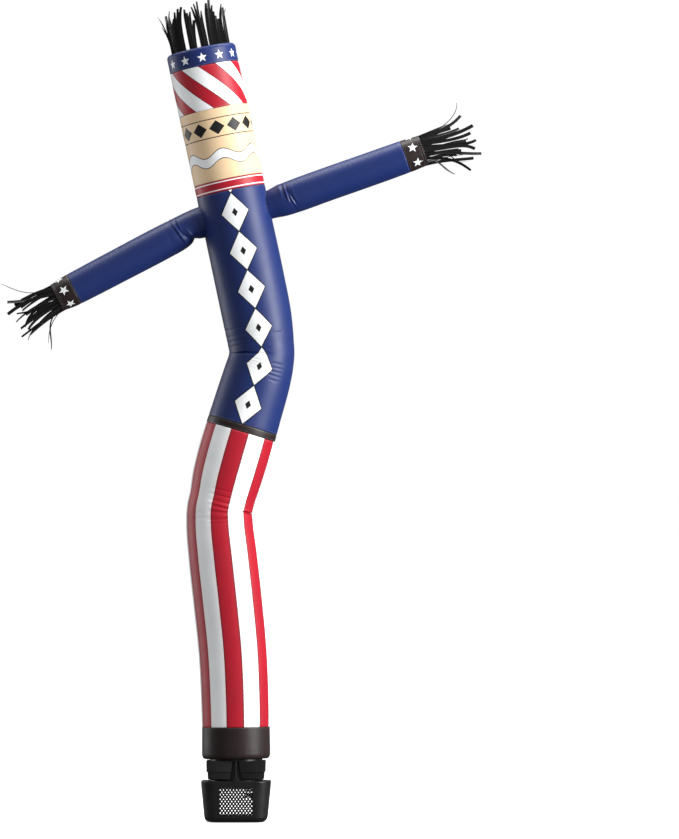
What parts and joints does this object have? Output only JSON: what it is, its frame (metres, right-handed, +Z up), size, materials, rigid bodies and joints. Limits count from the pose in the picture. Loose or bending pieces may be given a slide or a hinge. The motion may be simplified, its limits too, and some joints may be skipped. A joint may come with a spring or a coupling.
{
  "type": "inflatable air dancer on its blower",
  "caption": "Bent cloth tube figure with two sleeves and black streamers, inflated on a square plastic blower with diamond grilles.",
  "frame": {"origin": "middle of the blower's underside, on the floor", "axes": "+Z up, +X to the viewer's right as the figure is seen from the front, -Y the front"},
  "size_m": [1.7774, 0.2648, 3.0233],
  "materials": {
    "navy_cloth": "satin coated nylon, navy",
    "striped_cloth": "satin coated nylon, printed in red and white stripes",
    "red_cloth": "satin coated nylon, red",
    "cream_cloth": "satin coated nylon, cream with a printed border",
    "dark_cloth": "satin coated nylon, dark brown",
    "black_cloth": "thin coated nylon strips, black",
    "black_plastic": "fine-grained moulded plastic, black",
    "switch_plastic": "smooth moulded plastic, black",
    "rubber": "plain, black"
  },
  "bodies": {
    "body": {"base_cuff": "dark_cloth", "leg_tube": "striped_cloth", "waist_band": "dark_cloth", "body_tube": "navy_cloth", "collar_band": "red_cloth", "head_tube": "cream_cloth", "stripe_tube": "striped_cloth", "star_band": "navy_cloth", "left_sleeve": "navy_cloth", "left_wrist": "dark_cloth", "left_streamers": "black_cloth", "right_sleeve": "navy_cloth", "right_wrist": "dark_cloth", "right_streamers": "black_cloth", "top_streamers": "black_cloth", "housing": "black_plastic", "front_grille": "black_plastic", "side_grille": "black_plastic", "back_grille": "black_plastic", "left_grille": "black_plastic", "side_cover": "black_plastic", "switch_bezel": "black_plastic", "inlet_plate": "black_plastic", "round_plug": "rubber", "deck": "black_plastic", "neck": "black_plastic", "outlet_flange": "black_plastic", "duct_block_1": "black_plastic", "duct_block_2": "black_plastic", "duct_block_3": "black_plastic", "duct_block_4": "black_plastic", "front_tie_bar": "black_plastic", "back_tie_bar": "black_plastic"},
    "rocker": {"switch_rocker": "switch_plastic"}
  },
  "joints": [
    {"name": "rocker_turn", "type": "hinge", "parent": "body", "child": "rocker", "pos_m": [0.045, 0.12593, 0.12081], "axis": [0, 0.0943, 0.9955], "range_deg": [0, 14]}
  ]
}
